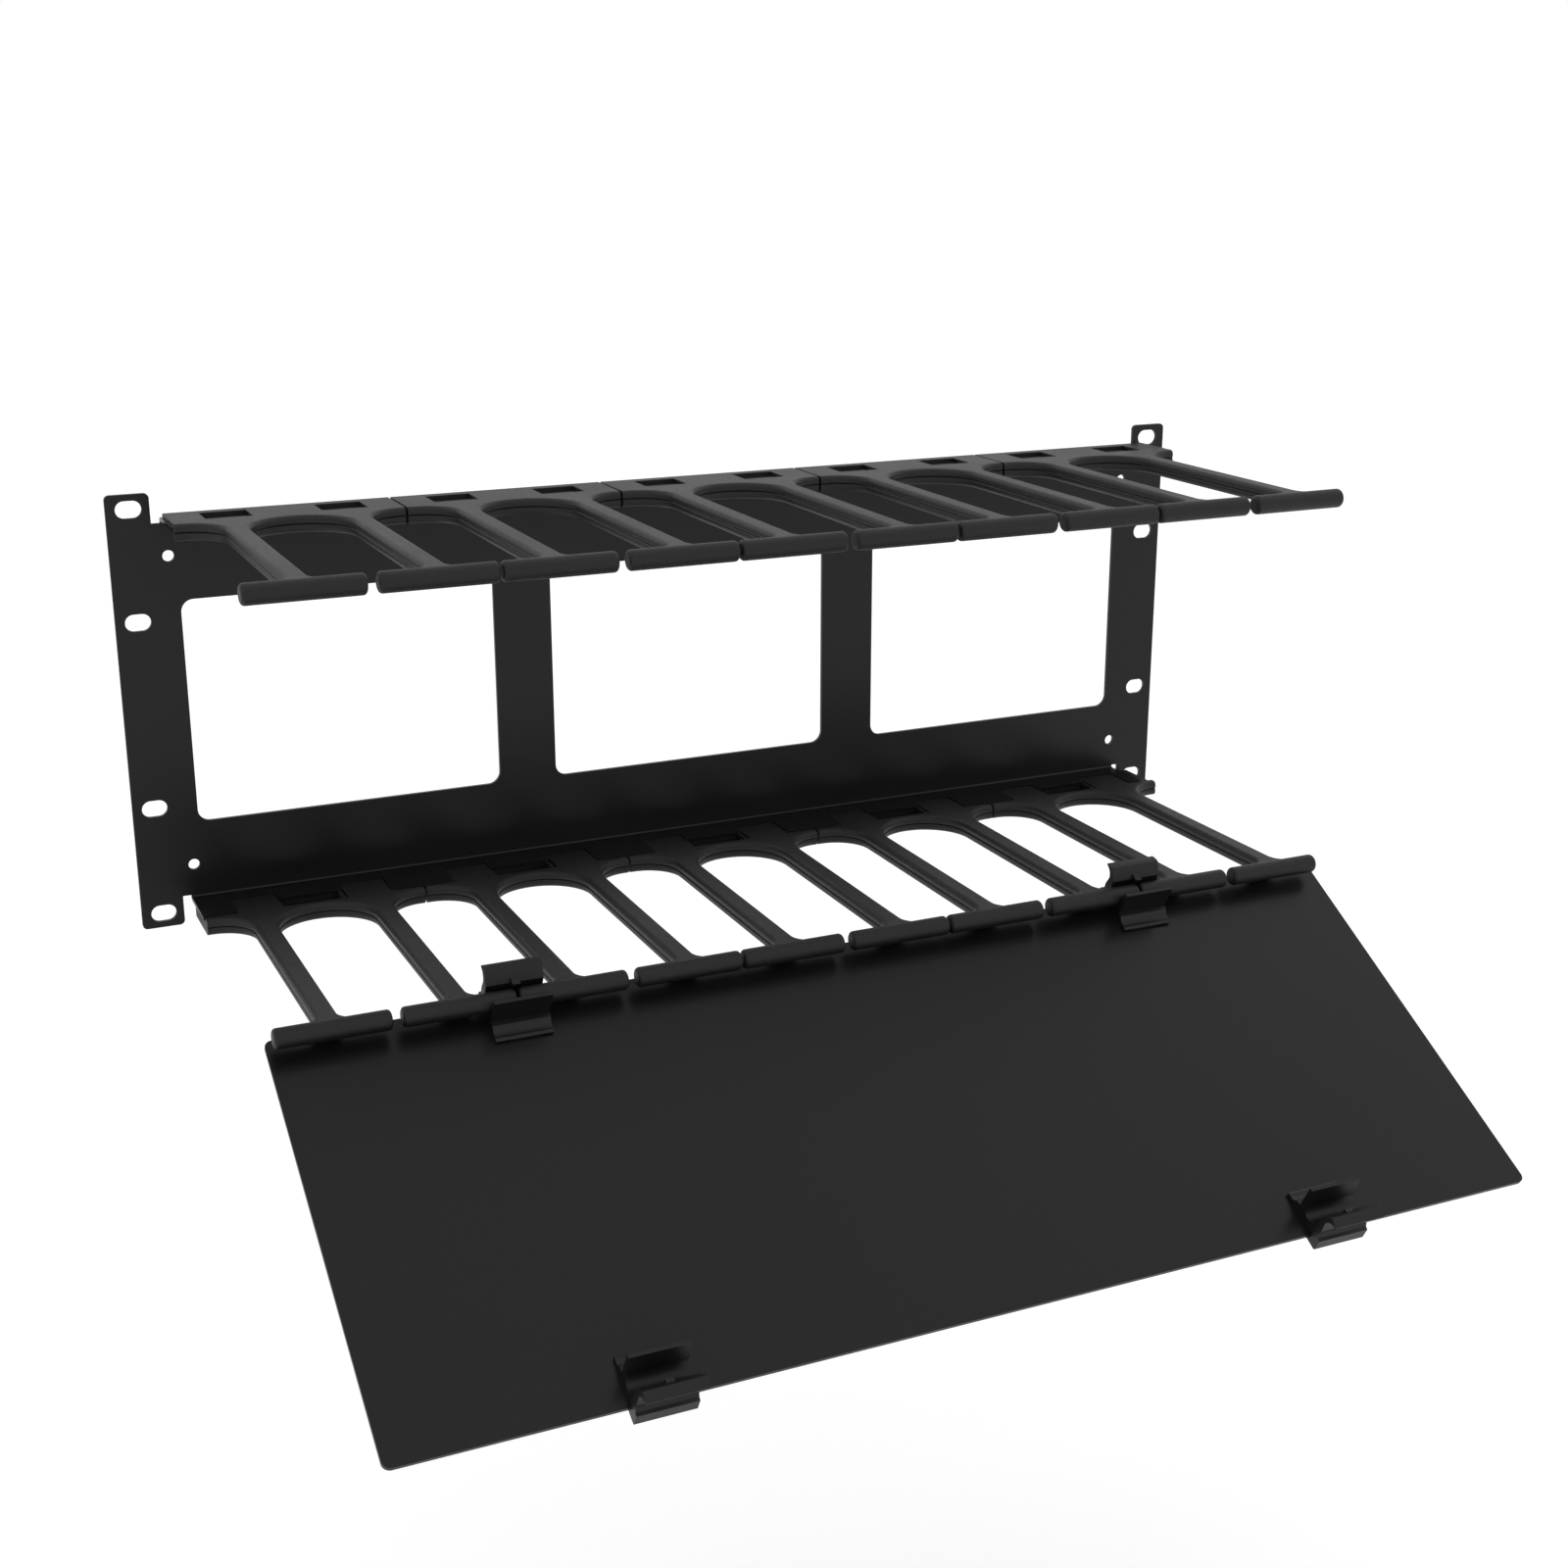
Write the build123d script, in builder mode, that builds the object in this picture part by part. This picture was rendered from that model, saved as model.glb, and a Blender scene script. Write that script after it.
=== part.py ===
from build123d import *
from math import cos, radians, sin
import os

# A four-unit horizontal cable manager for a 19 inch rack. Millimetres, +Z up, front towards -Y.
# The origin is the centre of the rack slot pattern, on the rear mounting face of the panel.

# Rack panel: folded sheet with two ears, three windows and a flange along the top and the bottom
panel_width = 482.6
panel_height = 177.0
sheet = 1.5
ear_width = 16.8
ear_corner_radius = 2.0
slot_edge_x = 8.75
slot_edge_z = 5.95
slot_row_step = 44.45
slot_length = 10.0
slot_height = 6.8
accessory_edge_x = 22.3
accessory_edge_z = 25.0
accessory_diameter = 4.5
window_count = 3
window_margin = 25.5
window_sill = 42.8
window_radius = 5.0
post_width = 25.0
flange_inset = 20.2
flange_drop = 9.5
flange_depth = 26.5
bend_height = 2.5
bend_radius = 0.9

# Finger modules: five along each flange, packed from the left end of the flange
module_count = 5
module_gap = 1.0
row_lead = 0.2
row_overhang = 6.9
seat_clearance = 0.3
nose_depth = 3.6
slab_thickness = 6.74
arm_inset = 20.59
arm_width = 8.7
arch_flat = 0.15
shoulder_radius = 14.5
crease_radius = 0.8
wall_band = 0.67
bar_reach = 149.5
bar_diameter = 7.72
bar_gap = 3.8
bar_end_radius = 1.5
flare_radius = 6.5
flare_overlap = 1.7

# Upper module: a thin plate that lies on the flange, with two windows
plate_thickness = 1.65
plate_rear = 3.8
opening_shift = 1.4
opening_width = 18.0
opening_rear = 8.9
opening_front = 23.3

# Lower module: a tray under the flange, with two tongues that fill notches in the flange
tongue_rise = 1.12
tongue_width = 18.0
tongue_rear = 10.5
tray_rear = 4.5
tray_floor = 1.6
mid_notch_rear = 17.5
mid_pocket_front = 24.5
mid_pocket_side = 1.1
rib_width = 1.4

# Cover: a flat sheet that turns about the lower bars, drawn in its open position
cover_side = 2.25
cover_shift_x = 0.9
cover_overhang = 4.6
cover_back_edge = 5.1
cover_sheet = 1.5
cover_corner_radius = 3.0
cover_slope = 30.0
cover_standoff = 7.2

# Clips: each is pushed onto an edge of the cover, two to turn on the lower bars and two to snap over the upper
clip_width = 22.2
clip_bore_clearance = 0.14
clip_edge_clearance = 0.25
clip_jaw_clearance = 0.15
clip_base_reach = 13.5
clip_foot_width = 12.2
foot_relief = 0.7
tail_thickness = 4.4
jaw_reach = 5.0
jaw_thickness = 1.7
fin_height = 7.1
fin_thickness = 2.3
fin_lean = 1.1
fin_top_width = 1.4
ledge_width = 1.8
ledge_height = 3.8
lip_reach = 11.8
lip_height = 8.7
nub_width = 3.0
nub_reach = 2.2
latch_shift_x = 1.1

ear_inner_x = panel_width / 2 - ear_width
slot_spacing_x = panel_width - 2 * slot_edge_x
slot_outer_z = panel_height / 2 - slot_edge_z
slot_row_z = (slot_outer_z, slot_outer_z - slot_row_step)
accessory_spacing_x = panel_width - 2 * accessory_edge_x
accessory_spacing_z = panel_height - 2 * accessory_edge_z
window_width = (panel_width - 2 * window_margin - (window_count - 1) * post_width) / window_count
window_height = panel_height - 2 * window_sill
flange_length = panel_width - 2 * flange_inset
flange_outer_z = panel_height / 2 - flange_drop
web_half_height = flange_outer_z - bend_height
row_start_x = row_lead - flange_length / 2
row_length = flange_length - row_lead + row_overhang
module_pitch = row_length / module_count
half_slab = slab_thickness / 2
edge_radius = half_slab - crease_radius - wall_band
bar_radius = bar_diameter / 2
module_length = module_pitch - module_gap
arm_offset = module_length / 2 - arm_inset
arch_radius = arm_offset - arm_width / 2 - arch_flat
opening_offset = arm_offset - opening_shift
mid_pocket_width = 2 * (opening_offset - mid_pocket_side) - tongue_width
cover_width = row_length + 2 * cover_side
bar_length = (module_length - bar_gap) / 2
bar_offset = (bar_gap + bar_length) / 2
slab_rear = flange_depth + seat_clearance
nose_front = slab_rear + nose_depth
flare_y = bar_reach - flare_overlap
upper_axis_z = flange_outer_z + plate_thickness - half_slab
lower_axis_z = -flange_outer_z + tongue_rise - half_slab
module_x = [row_start_x + module_pitch * (i + 0.5) for i in range(module_count)]
row_center_x = row_start_x + row_length / 2
clip_x = (row_start_x + module_pitch, row_start_x + module_pitch * (module_count - 1))
latch_reach = upper_axis_z - lower_axis_z
cover_reach = latch_reach + cover_overhang
slope = radians(cover_slope)
along = (0, -cos(slope), -sin(slope))
inward = (0, -sin(slope), cos(slope))

os.makedirs("parts", exist_ok=True)

with BuildPart() as back_panel:
    with BuildSketch(Plane.XZ):
        Rectangle(2 * ear_inner_x, 2 * web_half_height)
        for side in (-1, 1):
            with Locations((side * (ear_inner_x + ear_width / 2), 0)):
                RectangleRounded(ear_width, panel_height, ear_corner_radius)
            with Locations((side * ear_inner_x, 0)):
                Rectangle(2 * ear_corner_radius, 2 * web_half_height)
        with GridLocations(window_width + post_width, 0, window_count, 1):
            RectangleRounded(window_width, window_height, window_radius, mode=Mode.SUBTRACT)
        for row in slot_row_z:
            with GridLocations(slot_spacing_x, 2 * row, 2, 2):
                SlotOverall(slot_length, slot_height, mode=Mode.SUBTRACT)
        with GridLocations(accessory_spacing_x, accessory_spacing_z, 2, 2):
            Circle(accessory_diameter / 2, mode=Mode.SUBTRACT)
    extrude(amount=sheet)
    # Each flange runs on from the web through a bend, then forward
    outer_bend = bend_radius + sheet
    with BuildSketch(Plane.YZ) as flange_profile:
        with Locations((-sheet / 2, flange_outer_z - bend_height)):
            Rectangle(sheet, 2 * bend_height)
        with Locations((-flange_depth / 2, flange_outer_z - sheet / 2)):
            Rectangle(flange_depth, sheet)
        corners = flange_profile.vertices()
        fillet(corners.filter_by(lambda v: abs(v.X) < 0.01 and abs(v.Y - flange_outer_z) < 0.01), outer_bend)
        corners = flange_profile.vertices()
        inner = corners.filter_by(lambda v: abs(v.X + sheet) < 0.01)
        fillet(inner.sort_by(Axis.Y)[-1], bend_radius)
        mirror(about=Plane.XZ)
    extrude(amount=flange_length / 2, both=True)
    # The lower flange is notched for the tongues of the lower modules
    with BuildSketch(Plane.XY.offset(-flange_outer_z - 1)):
        for x in module_x:
            span = 2 * opening_offset + tongue_width + 2 * seat_clearance
            with Locations((x, -(mid_notch_rear + flange_depth + 1) / 2)):
                Rectangle(span, flange_depth + 1 - mid_notch_rear)
            for side in (-1, 1):
                with Locations((x + side * opening_offset, -(tongue_rear - seat_clearance + flange_depth) / 2)):
                    Rectangle(tongue_width + 2 * seat_clearance, flange_depth - tongue_rear + seat_clearance)
    extrude(amount=sheet + 2, mode=Mode.SUBTRACT)
back_panel.part.label = "back_panel"
export_step(back_panel.part, "parts/back_panel.step")


def finger_module(name, x, axis_z, lower):
    top_z = axis_z + half_slab
    with BuildPart() as module:
        # Plan outline: a nose along the flange, two arms and the foot of each bar
        with BuildSketch(Plane.XY.offset(axis_z)) as outline:
            with Locations((x, -(slab_rear + nose_front) / 2)):
                Rectangle(module_length, nose_depth)
            for side in (-1, 1):
                with Locations((x + side * arm_offset, -(nose_front + bar_reach) / 2)):
                    Rectangle(arm_width, bar_reach - nose_front)
                with Locations((x + side * arm_offset, -bar_reach)):
                    Rectangle(arm_width + 2 * flare_radius + 0.2, 2 * flare_overlap)
            roots = outline.vertices().filter_by(lambda v: abs(v.Y + nose_front) < 0.01)
            fillet(roots.filter_by(lambda v: abs(v.X - x) < arm_offset), arch_radius)
            roots = outline.vertices().filter_by(lambda v: abs(v.Y + nose_front) < 0.01)
            outer = arm_offset + arm_width / 2
            fillet(roots.filter_by(lambda v: abs(abs(v.X - x) - outer) < 0.01), shoulder_radius)
            feet = outline.vertices().filter_by(lambda v: abs(v.Y + flare_y) < 0.01)
            half_arm = arm_width / 2
            fillet(feet.filter_by(lambda v: abs(abs(abs(v.X - x) - arm_offset) - half_arm) < 0.01), flare_radius)
        extrude(amount=half_slab)
        # Both halves have rounded edges, which leaves a crease round the middle of the wall
        nose_top = 0.05 - nose_front
        rim = module.edges().group_by(Axis.Z)[-1]
        fillet(rim.filter_by(lambda e: -flare_y + 0.2 < e.center().Y < nose_top), edge_radius)
        crease = module.edges().group_by(Axis.Z)[0]
        fillet(crease.filter_by(lambda e: -flare_y + 0.2 < e.center().Y < nose_top), crease_radius)
        mirror(about=Plane.XY.offset(axis_z))
        # One round bar across the end of each arm
        for side in (-1, 1):
            with Locations(Location((x + side * bar_offset, -bar_reach, axis_z), (0, 90, 0))):
                Cylinder(bar_radius, bar_length)
        ends = module.edges().filter_by(GeomType.CIRCLE)
        fillet(ends.filter_by(lambda e: abs(e.radius - bar_radius) < 0.001), bar_end_radius)
        if lower:
            tray_height = slab_thickness - tongue_rise
            bottom_z = axis_z - half_slab
            with Locations((x, -(tray_rear + slab_rear) / 2, bottom_z + tray_height / 2)):
                Box(module_length, slab_rear - tray_rear, tray_height)
            for side in (-1, 1):
                with Locations((x + side * opening_offset, -(tongue_rear + slab_rear) / 2, top_z - tongue_rise / 2)):
                    Box(tongue_width, slab_rear - tongue_rear, tongue_rise)
                # Hollow under each tongue
                with Locations((x + side * opening_offset, -(tongue_rear + slab_rear) / 2, bottom_z)):
                    hollow = 2 * (tray_height - tray_floor)
                    Box(tongue_width, slab_rear - tongue_rear - 2 * tray_floor, hollow, mode=Mode.SUBTRACT)
            # Pocket between the tongues, with a small rib at its right end
            pocket_depth = tray_height - tray_floor
            with Locations((x, -(mid_notch_rear + mid_pocket_front) / 2, top_z - tongue_rise - pocket_depth / 2)):
                Box(mid_pocket_width, mid_pocket_front - mid_notch_rear, pocket_depth, mode=Mode.SUBTRACT)
            rib_x = x + mid_pocket_width / 2 - rib_width / 2
            with Locations((rib_x, -(mid_notch_rear + slab_rear) / 2 - seat_clearance / 2, top_z - tongue_rise)):
                Box(rib_width, slab_rear - mid_notch_rear - seat_clearance, 2 * tongue_rise - 0.1)
        else:
            with Locations((x, -(plate_rear + slab_rear) / 2, top_z - plate_thickness / 2)):
                Box(module_length, slab_rear - plate_rear, plate_thickness)
            for side in (-1, 1):
                with Locations((x + side * opening_offset, -(opening_rear + opening_front) / 2, top_z)):
                    Box(opening_width, opening_front - opening_rear, 3 * plate_thickness, mode=Mode.SUBTRACT)
    module.part.label = name
    export_step(module.part, f"parts/{name}.step")


for number, x in enumerate(module_x, start=1):
    finger_module(f"upper_finger_module_{number}", x, upper_axis_z, False)
    finger_module(f"lower_finger_module_{number}", x, lower_axis_z, True)

cover_plane = Plane((row_center_x + cover_shift_x, -bar_reach, lower_axis_z), x_dir=(1, 0, 0), z_dir=inward)
with BuildPart() as cover:
    with BuildSketch(cover_plane.offset(-cover_standoff)):
        with Locations((0, (cover_back_edge - cover_reach) / 2)):
            RectangleRounded(cover_width, cover_reach + cover_back_edge, cover_corner_radius)
    extrude(amount=-cover_sheet)
cover.part.label = "cover"
export_step(cover.part, "parts/cover.step")


def clip(name, x, seat, turn, overhang, nub_tip):
    # The section is drawn about the bar's axis: the base and the fin lie on one side, the hook on the other.
    # A jaw under the base closes round the edge of the cover.
    bore = bar_radius + clip_bore_clearance
    face = -cover_standoff
    wall = overhang + clip_edge_clearance
    tail = wall + tail_thickness
    jaw = face - cover_sheet - clip_jaw_clearance
    fin_tip = bore + fin_lean
    ledge = bore + fin_thickness + ledge_width
    relief_start = clip_base_reach - 3.0
    crease = (-bore - 0.3, bore + 0.1)
    ridge = (-lip_reach + 3.9, lip_height)
    lip = (-lip_reach, lip_height - 1.2)
    root = (-tail + 2.4, 3.4)
    section = Plane((x, -bar_reach, lower_axis_z), x_dir=along, z_dir=(-1, 0, 0))

    def spot(p, v):
        return (seat + turn * p, v)

    with BuildPart() as body:
        with BuildSketch(section):
            with BuildLine():
                Polyline(
                    spot(bore, 0),
                    spot(fin_tip, fin_height),
                    spot(fin_tip + fin_top_width, fin_height),
                    spot(bore + fin_thickness, face + ledge_height),
                    spot(ledge, face + ledge_height - 0.1),
                )
                ThreePointArc(
                    spot(ledge, face + ledge_height - 0.1),
                    spot(ledge + 1.3, face + 2.3),
                    spot(clip_base_reach - 1.1, face + 1.7),
                )
                Polyline(
                    spot(clip_base_reach - 1.1, face + 1.7),
                    spot(clip_base_reach, face + 1.2),
                    spot(clip_base_reach, face + foot_relief),
                    spot(relief_start, face),
                    spot(-wall, face),
                    spot(-wall, jaw),
                    spot(jaw_reach, jaw),
                    spot(jaw_reach, jaw - 0.4 * jaw_thickness),
                    spot(jaw_reach - 5.0, jaw - jaw_thickness),
                    spot(-tail + 0.4, jaw - jaw_thickness),
                    spot(-tail, jaw - jaw_thickness + 0.5),
                    spot(-tail + 0.1, face + 2.0),
                    spot(-tail + 1.3, face + 2.4),
                    spot(-tail + 2.2, face + 4.0),
                    spot(-tail + 1.8, face + 6.6),
                    spot(*root),
                )
                ThreePointArc(spot(*root), spot(root[0] - 1.0, 5.5), spot(lip[0] + 0.2, lip[1] - 0.6))
                Line(spot(lip[0] + 0.2, lip[1] - 0.6), spot(*lip))
                ThreePointArc(spot(*lip), spot(lip[0] + 1.9, lip_height - 0.4), spot(*ridge))
                Polyline(spot(*ridge), spot(*crease), spot(-bore, 0))
                ThreePointArc(spot(-bore, 0), spot(0, -bore), spot(bore, 0))
            make_face()
        extrude(amount=clip_width / 2, both=True)
        # Foot under the end of the base, in the middle
        with BuildSketch(section):
            with BuildLine():
                Polyline(
                    spot(relief_start - 0.5, face),
                    spot(relief_start - 0.5, face + 0.4),
                    spot(clip_base_reach - 0.2, face + foot_relief + 0.1),
                    spot(clip_base_reach - 0.2, face),
                    close=True,
                )
            make_face()
        extrude(amount=clip_foot_width / 2, both=True)
        # Small nub on the inside of the hook
        with BuildSketch(section):
            with BuildLine():
                Polyline(
                    spot(-nub_tip, bore + 0.4),
                    spot(-nub_tip, bore + 1.5),
                    spot(-bore - 2.2, bore + 1.9),
                    spot(-bore - 1.0, bore - 0.4),
                    close=True,
                )
            make_face()
        extrude(amount=nub_width / 2, both=True)
    body.part.label = name
    export_step(body.part, f"parts/{name}.step")


# The nub of a latch clip stops at the bar's path, so that the bar can come out
latch_nub_tip = bar_radius + clip_bore_clearance + 0.05
for side, x in zip(("left", "right"), clip_x):
    clip(f"hinge_clip_{side}", x, 0, 1, cover_back_edge, nub_reach)
    clip(f"latch_clip_{side}", x + latch_shift_x, latch_reach, -1, cover_overhang, latch_nub_tip)
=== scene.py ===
from math import radians

import bpy
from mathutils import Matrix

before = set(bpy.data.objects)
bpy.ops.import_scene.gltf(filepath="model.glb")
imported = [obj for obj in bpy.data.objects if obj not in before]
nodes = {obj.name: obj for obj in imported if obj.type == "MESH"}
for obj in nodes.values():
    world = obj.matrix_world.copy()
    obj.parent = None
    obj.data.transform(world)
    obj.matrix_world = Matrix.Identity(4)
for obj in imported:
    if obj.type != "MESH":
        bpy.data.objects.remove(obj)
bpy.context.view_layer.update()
scene = bpy.context.scene
print("frame loaded:", len(nodes), "nodes")


# shared shader groups

def newGroup(name, inputs, outputs):
    group = bpy.data.node_groups.new(name, "ShaderNodeTree")
    for way, sockets in (("INPUT", inputs), ("OUTPUT", outputs)):
        for label, kind in sockets.items():
            group.interface.new_socket(label, in_out=way, socket_type=kind)
    return group, group.nodes.new("NodeGroupInput"), group.nodes.new("NodeGroupOutput")


def mathNode(tree, operation, first, second):
    node = tree.nodes.new("ShaderNodeMath")
    node.operation = operation
    for index, value in enumerate((first, second)):
        if isinstance(value, (int, float)):
            node.inputs[index].default_value = value
        else:
            tree.links.new(value, node.inputs[index])
    return node.outputs[0]


# fine pebble of a moulded or powder coated surface: a height for bump and a mask for roughness
fineGrain = {"rippleDetail": 3.0, "rippleRatio": 0.35}


def buildGrainGroup():
    group, entry, leave = newGroup(
        "fineGrain",
        {"Vector": "NodeSocketVector", "Scale": "NodeSocketFloat", "Coarse": "NodeSocketFloat"},
        {"Height": "NodeSocketFloat", "Mask": "NodeSocketFloat"},
    )
    pebble = group.nodes.new("ShaderNodeTexVoronoi")
    group.links.new(entry.outputs["Vector"], pebble.inputs["Vector"])
    group.links.new(entry.outputs["Scale"], pebble.inputs["Scale"])
    ripple = group.nodes.new("ShaderNodeTexNoise")
    ripple.inputs["Detail"].default_value = fineGrain["rippleDetail"]
    rippleScale = mathNode(group, "MULTIPLY", entry.outputs["Scale"], fineGrain["rippleRatio"])
    group.links.new(entry.outputs["Vector"], ripple.inputs["Vector"])
    group.links.new(rippleScale, ripple.inputs["Scale"])
    coarse = mathNode(group, "MULTIPLY", ripple.outputs["Fac"], entry.outputs["Coarse"])
    height = mathNode(group, "ADD", pebble.outputs["Distance"], coarse)
    group.links.new(height, leave.inputs["Height"])
    group.links.new(ripple.outputs["Fac"], leave.inputs["Mask"])
    return group


# broad, faint unevenness, for the tone of the colour and for the roughness
broadTone = {"detail": 4.0, "roughness": 0.55}


def buildToneGroup():
    group, entry, leave = newGroup(
        "broadTone",
        {"Vector": "NodeSocketVector", "Scale": "NodeSocketFloat"},
        {"Mask": "NodeSocketFloat"},
    )
    cloud = group.nodes.new("ShaderNodeTexNoise")
    cloud.inputs["Detail"].default_value = broadTone["detail"]
    cloud.inputs["Roughness"].default_value = broadTone["roughness"]
    group.links.new(entry.outputs["Vector"], cloud.inputs["Vector"])
    group.links.new(entry.outputs["Scale"], cloud.inputs["Scale"])
    group.links.new(cloud.outputs["Fac"], leave.inputs["Mask"])
    return group


grainGroup = buildGrainGroup()
toneGroup = buildToneGroup()
print("shader groups made")


# materials

panelCoat = {
    "name": "panelPowderCoat",
    "dark": (0.0040, 0.0040, 0.0042), "light": (0.0060, 0.0060, 0.0062),
    "roughLow": 0.27, "roughHigh": 0.35, "specular": 0.245,
    "grainScale": 1400.0, "coarse": 0.5, "bump": 0.04, "bumpDepth": 0.00012,
    "toneScale": 9.0,
}
coverCoat = {**panelCoat, "name": "coverPowderCoat", "specular": 0.24, "toneScale": 7.0}
fingerPlastic = {
    "name": "fingerPlastic",
    "dark": (0.0036, 0.0036, 0.0038), "light": (0.0054, 0.0054, 0.0056),
    "roughLow": 0.47, "roughHigh": 0.59, "specular": 0.34,
    "grainScale": 1700.0, "coarse": 0.35, "bump": 0.3, "bumpDepth": 0.0002,
    "toneScale": 18.0,
}
clipPlastic = {
    "name": "clipPlastic",
    "dark": (0.0036, 0.0036, 0.0038), "light": (0.0052, 0.0052, 0.0054),
    "roughLow": 0.40, "roughHigh": 0.50, "specular": 0.30,
    "grainScale": 1900.0, "coarse": 0.35, "bump": 0.08, "bumpDepth": 0.0001,
    "toneScale": 24.0,
}

# the part of the masks' range that is spread over the roughness
maskSpan = {"low": 0.3, "high": 0.7}


def placeGroup(tree, group, **values):
    node = tree.nodes.new("ShaderNodeGroup")
    node.node_tree = group
    for label, value in values.items():
        node.inputs[label].default_value = value
    return node


def mixColour(tree, fac, first, second):
    node = tree.nodes.new("ShaderNodeMix")
    node.data_type = "RGBA"
    tree.links.new(fac, node.inputs["Factor"])
    for label, colour in (("A", first), ("B", second)):
        socket = next(s for s in node.inputs if s.name == label and s.type == "RGBA")
        socket.default_value = (*colour, 1.0)
    return next(s for s in node.outputs if s.type == "RGBA")


def buildFinish(look):
    material = bpy.data.materials.new(look["name"])
    material.use_nodes = True
    tree = material.node_tree
    shader = tree.nodes["Principled BSDF"]
    shader.inputs["Specular IOR Level"].default_value = look["specular"]
    place = tree.nodes.new("ShaderNodeTexCoord").outputs["Object"]
    grain = placeGroup(tree, grainGroup, Scale=look["grainScale"], Coarse=look["coarse"])
    tone = placeGroup(tree, toneGroup, Scale=look["toneScale"])
    for node in (grain, tone):
        tree.links.new(place, node.inputs["Vector"])

    base = mixColour(tree, tone.outputs["Mask"], look["dark"], look["light"])
    tree.links.new(base, shader.inputs["Base Color"])

    maskSum = mathNode(tree, "ADD", grain.outputs["Mask"], tone.outputs["Mask"])
    maskMean = mathNode(tree, "MULTIPLY", maskSum, 1 / 2)
    gloss = tree.nodes.new("ShaderNodeMapRange")
    gloss.inputs["From Min"].default_value = maskSpan["low"]
    gloss.inputs["From Max"].default_value = maskSpan["high"]
    gloss.inputs["To Min"].default_value = look["roughLow"]
    gloss.inputs["To Max"].default_value = look["roughHigh"]
    tree.links.new(maskMean, gloss.inputs["Value"])
    tree.links.new(gloss.outputs["Result"], shader.inputs["Roughness"])

    bump = tree.nodes.new("ShaderNodeBump")
    bump.inputs["Strength"].default_value = look["bump"]
    bump.inputs["Distance"].default_value = look["bumpDepth"]
    tree.links.new(grain.outputs["Height"], bump.inputs["Height"])
    tree.links.new(bump.outputs["Normal"], shader.inputs["Normal"])
    return material


finishes = {
    "back_panel": buildFinish(panelCoat),
    "cover": buildFinish(coverCoat),
    "finger": buildFinish(fingerPlastic),
    "clip": buildFinish(clipPlastic),
}
for name, node in nodes.items():
    key = name if name in finishes else ("clip" if "clip" in name else "finger")
    node.data.materials.clear()
    node.data.materials.append(finishes[key])
print("finishes made:", len(finishes))


# floor and surroundings: plain white to the camera, soft light from all round

studio = {
    "floorZ": -0.45, "floorSize": 80.0,
    "floorColour": (0.8, 0.8, 0.8), "floorRough": 0.9, "floorSpecular": 0.0, "floorLift": 0.3,
    "surroundColour": (1.0, 1.0, 1.0), "surround": 1.0,
}

bpy.ops.mesh.primitive_plane_add(size=studio["floorSize"], location=(0, 0, studio["floorZ"]))
floor = bpy.context.object
floor.name = "studioFloor"


# pale paint that keeps the shadow; the camera and reflections see it lifted to white
def buildFloorFinish():
    material = bpy.data.materials.new("studioFloorPaint")
    material.use_nodes = True
    tree = material.node_tree
    shader = tree.nodes["Principled BSDF"]
    shader.inputs["Base Color"].default_value = (*studio["floorColour"], 1.0)
    shader.inputs["Roughness"].default_value = studio["floorRough"]
    shader.inputs["Specular IOR Level"].default_value = studio["floorSpecular"]
    ray = tree.nodes.new("ShaderNodeLightPath")
    seen = mathNode(tree, "MAXIMUM", ray.outputs["Is Camera Ray"], ray.outputs["Is Glossy Ray"])
    seen = mathNode(tree, "MAXIMUM", seen, ray.outputs["Is Transmission Ray"])
    lift = mathNode(tree, "MULTIPLY", seen, studio["floorLift"])
    glow = tree.nodes.new("ShaderNodeEmission")
    tree.links.new(lift, glow.inputs["Strength"])
    both = tree.nodes.new("ShaderNodeAddShader")
    tree.links.new(shader.outputs["BSDF"], both.inputs[0])
    tree.links.new(glow.outputs["Emission"], both.inputs[1])
    tree.links.new(both.outputs["Shader"], tree.nodes["Material Output"].inputs["Surface"])
    return material


floor.data.materials.append(buildFloorFinish())

world = bpy.data.worlds.new("studioSurround")
scene.world = world
world.use_nodes = True
background = world.node_tree.nodes["Background"]
background.inputs["Color"].default_value = (*studio["surroundColour"], 1.0)
background.inputs["Strength"].default_value = studio["surround"]
print("studio made")


# camera, fitted to the rack slots in the photograph

eye = {
    "place": (-0.35243, -0.86284, 0.22950), "pitch": 90 - 17.167, "turn": -24.762,
    "lens": 50.13, "sensor": 36.0, "near": 0.01, "far": 100.0,
}

cameraData = bpy.data.cameras.new("photoCamera")
cameraData.lens = eye["lens"]
cameraData.sensor_width = eye["sensor"]
cameraData.clip_start = eye["near"]
cameraData.clip_end = eye["far"]
camera = bpy.data.objects.new("photoCamera", cameraData)
camera.location = eye["place"]
camera.rotation_euler = (radians(eye["pitch"]), 0, radians(eye["turn"]))
scene.collection.objects.link(camera)
scene.camera = camera
scene.view_settings.view_transform = "Standard"
print("camera placed")
